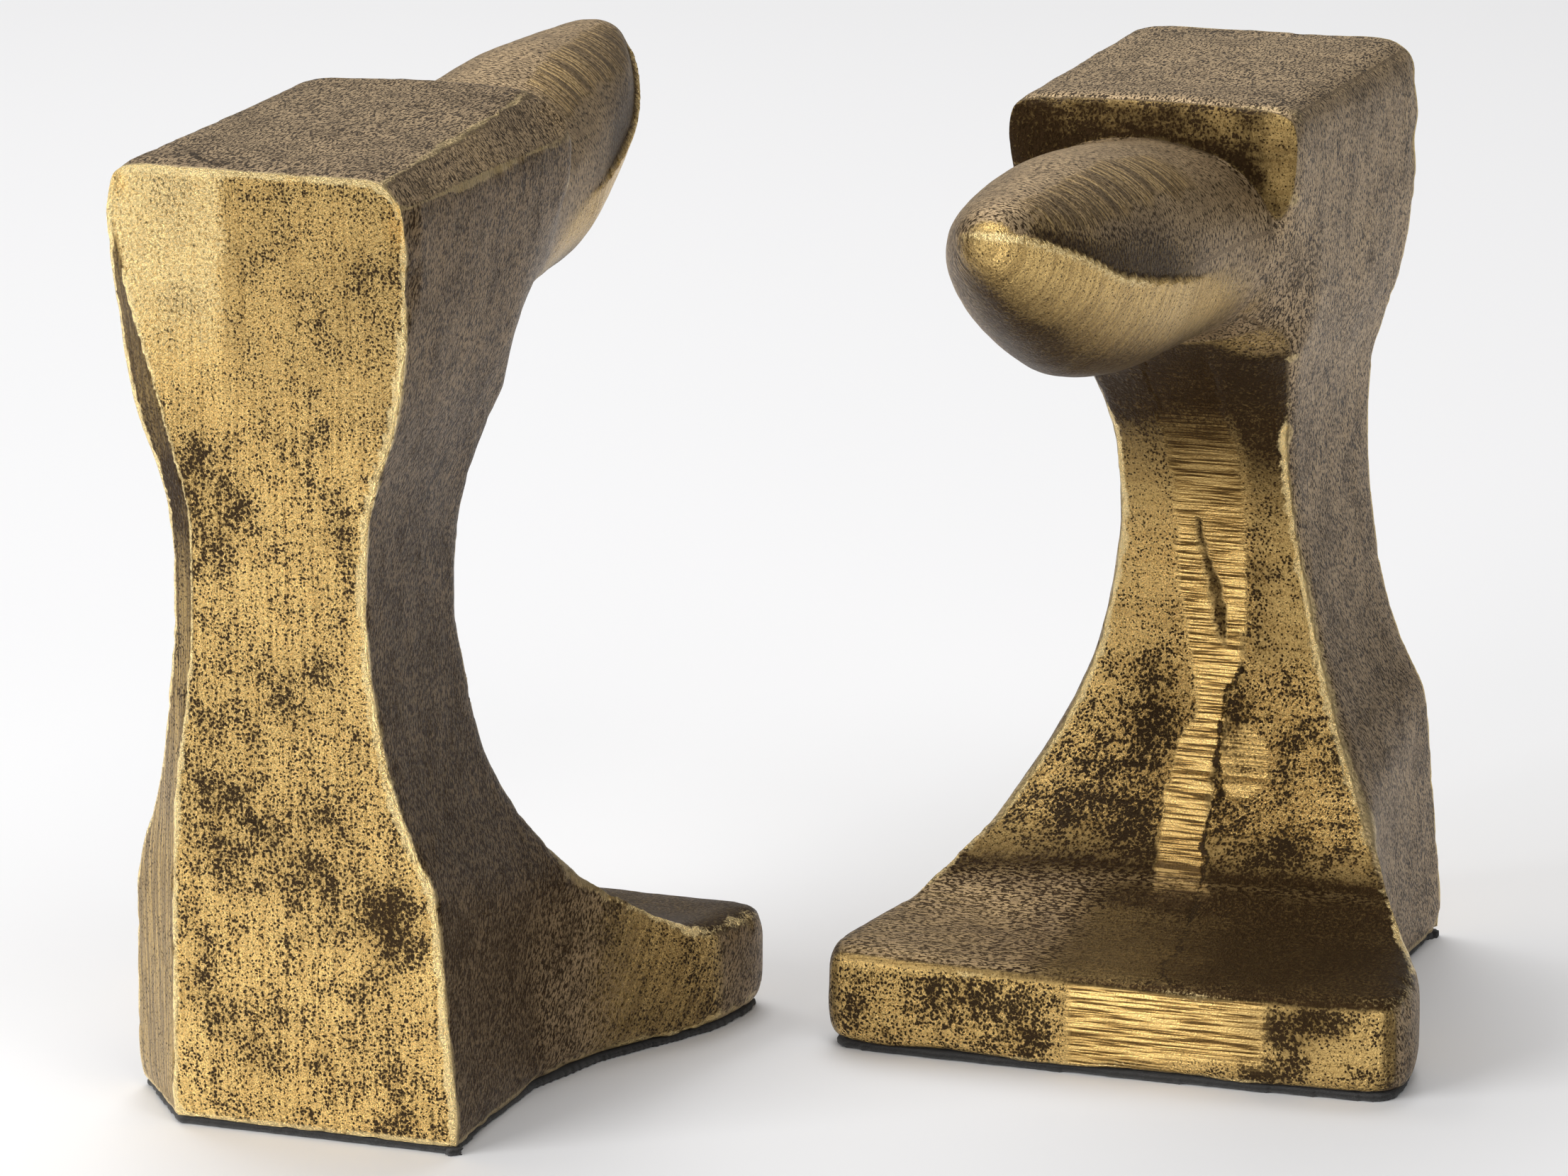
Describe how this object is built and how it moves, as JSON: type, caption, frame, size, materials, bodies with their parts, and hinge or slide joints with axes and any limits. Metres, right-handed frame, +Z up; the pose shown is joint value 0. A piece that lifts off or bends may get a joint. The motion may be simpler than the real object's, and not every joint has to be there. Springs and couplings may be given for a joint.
{
  "type": "pair of book ends",
  "caption": "Anvil-shaped book ends: solid castings with a flat back for the books, a pinched waist, a spreading foot on felt and a horn.",
  "frame": {"origin": "on the surface that the pair stands on, under the middle of the pair's outer box", "axes": "+Z up. The left book end stands on the +Y side with its flat back facing -X and its horn along +X. The right one stands on the -Y side with its flat back facing +X, turned 1.35 degrees, and its horn along -X"},
  "size_m": [0.2209, 0.2726, 0.2021],
  "materials": {
    "casting": "antique brass finish on a rough sand casting, dark in the pits and rubbed bright on the ground faces",
    "felt": "thin black felt"
  },
  "bodies": {
    "left_book_end": {"left_casting": "casting", "left_felt_pad": "felt"},
    "right_book_end": {"right_casting": "casting", "right_felt_pad": "felt"}
  },
  "joints": [
    {"name": "spread_for_books", "type": "slide", "parent": "left_book_end", "child": "right_book_end", "axis": [-1, 0, 0], "range_m": [0, 0.6]}
  ]
}
